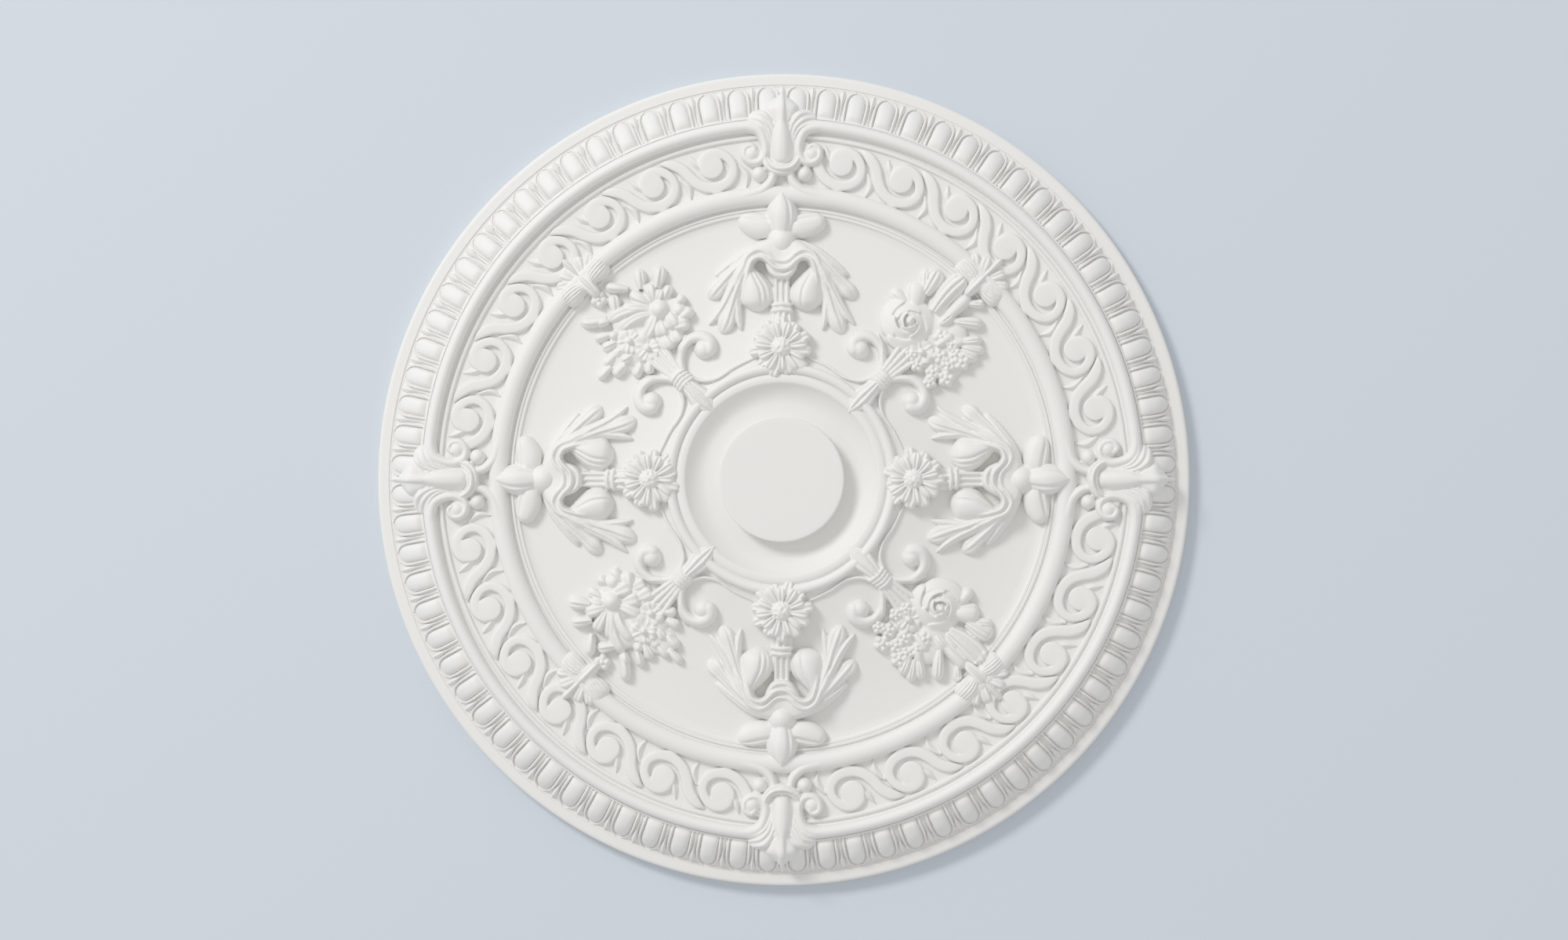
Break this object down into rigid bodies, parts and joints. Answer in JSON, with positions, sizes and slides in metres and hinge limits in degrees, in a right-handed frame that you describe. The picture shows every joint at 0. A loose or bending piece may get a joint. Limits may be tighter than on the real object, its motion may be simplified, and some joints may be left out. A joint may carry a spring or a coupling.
{
  "type": "ceiling rose",
  "caption": "Round cast ceiling rose with a plain centre disc, flower and acanthus carving, a running scroll border and an egg-and-dart rim, flat at the back.",
  "frame": {"origin": "centre of the flat back, which is the face fixed to the ceiling", "axes": "+Z out of the carved face, away from the back; +Y towards the top of the pattern as pictured. The row lies face up; in use it is turned over, with the back against the ceiling and the carved face looking down"},
  "size_m": [0.66, 0.66, 0.0579],
  "materials": {
    "primed_white": "matte white factory primer"
  },
  "bodies": {
    "root": {"ceiling_rose": "primed_white"}
  },
  "joints": []
}
